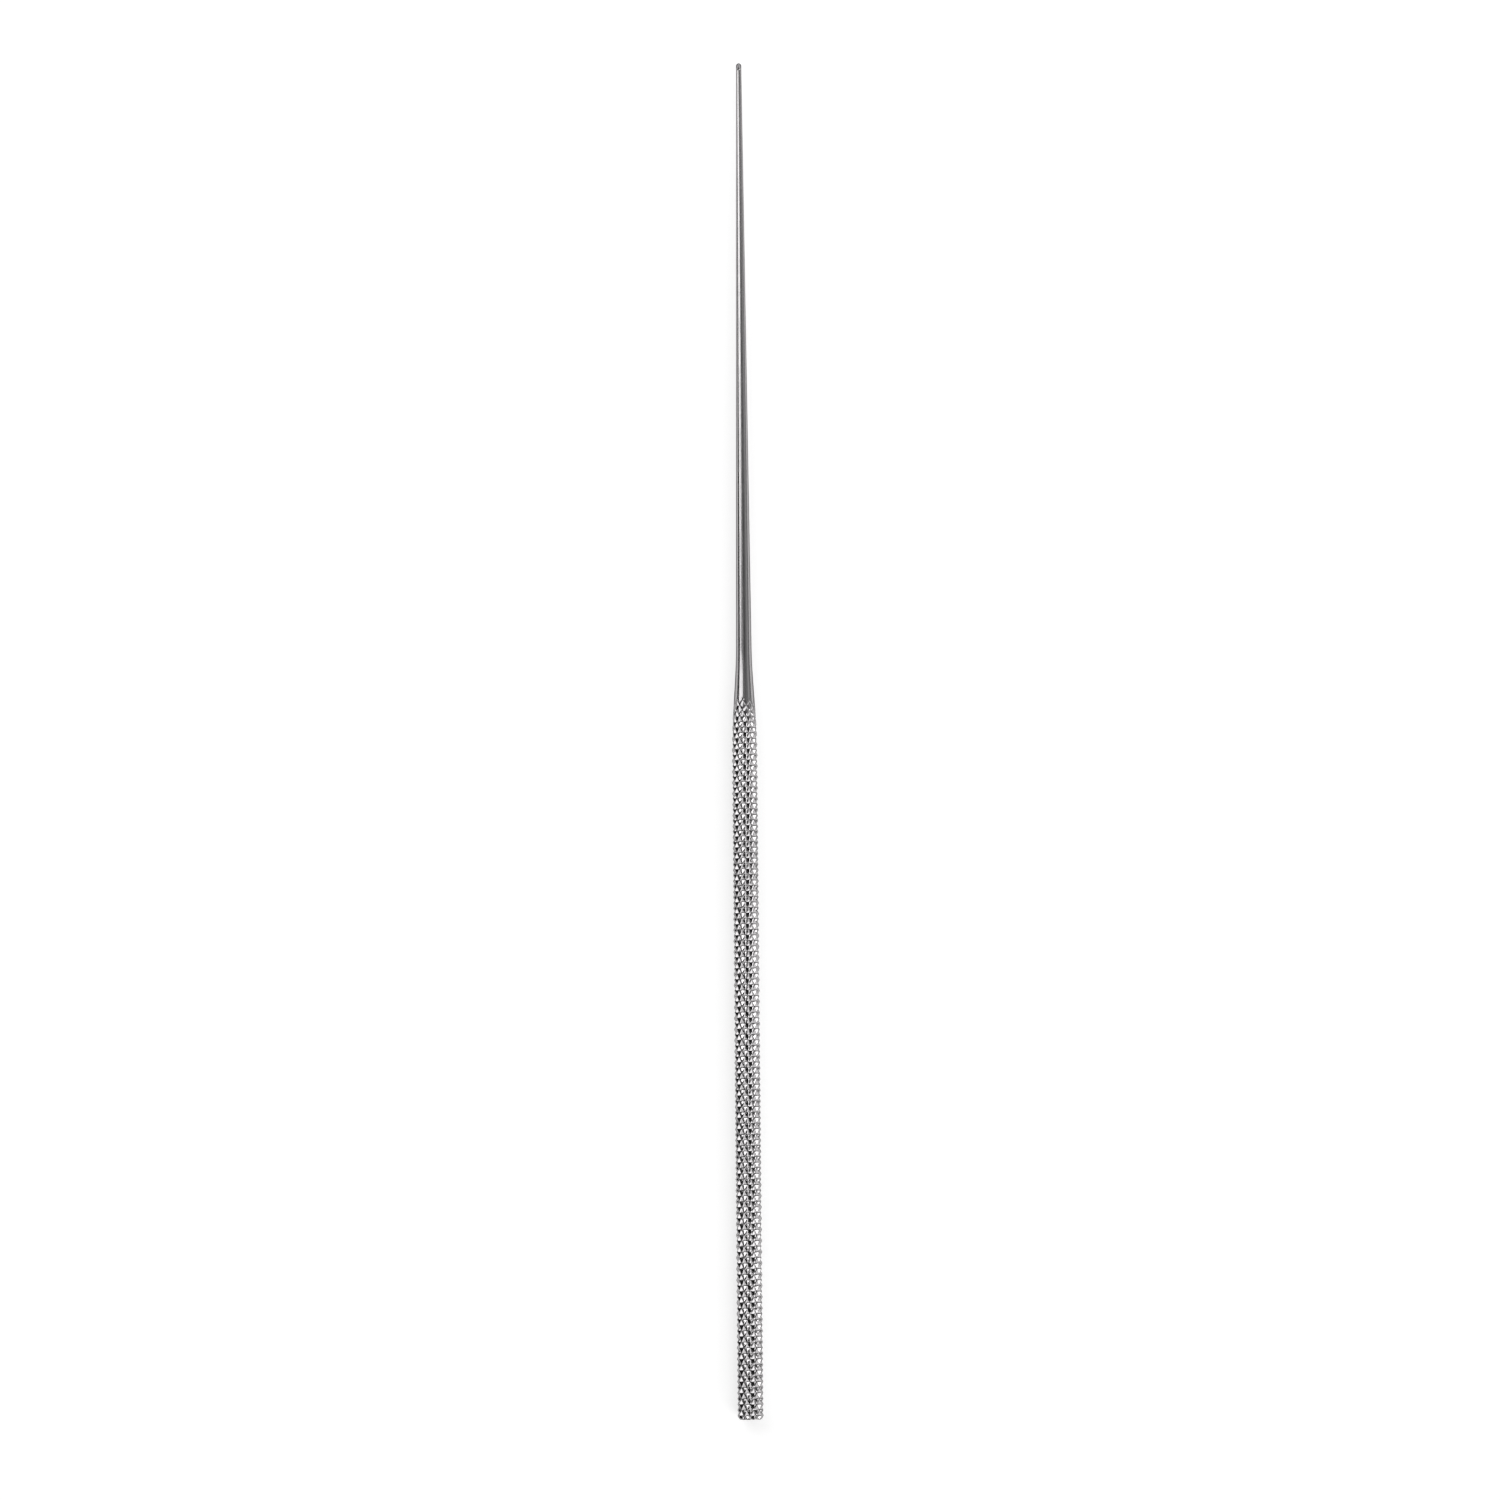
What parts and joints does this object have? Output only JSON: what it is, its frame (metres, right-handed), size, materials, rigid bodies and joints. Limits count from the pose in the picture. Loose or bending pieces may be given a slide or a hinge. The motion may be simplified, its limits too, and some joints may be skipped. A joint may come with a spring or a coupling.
{
  "type": "bone hook",
  "caption": "Fine hand-held surgical hook: a diamond-knurled round handle that flares into a slender tapered shaft, bent at its end into a tight right-angle hook with a pointed prong.",
  "frame": {"origin": "middle of the flat butt face, on the axis of the handle", "axes": "+Y along the handle from the butt face towards the hook, +Z the way the point of the hook stands, +X completes the frame"},
  "size_m": [0.003, 0.16, 0.003],
  "materials": {
    "satin_steel": "satin stainless steel"
  },
  "bodies": {
    "root": {"bone_hook": "satin_steel"}
  },
  "joints": []
}
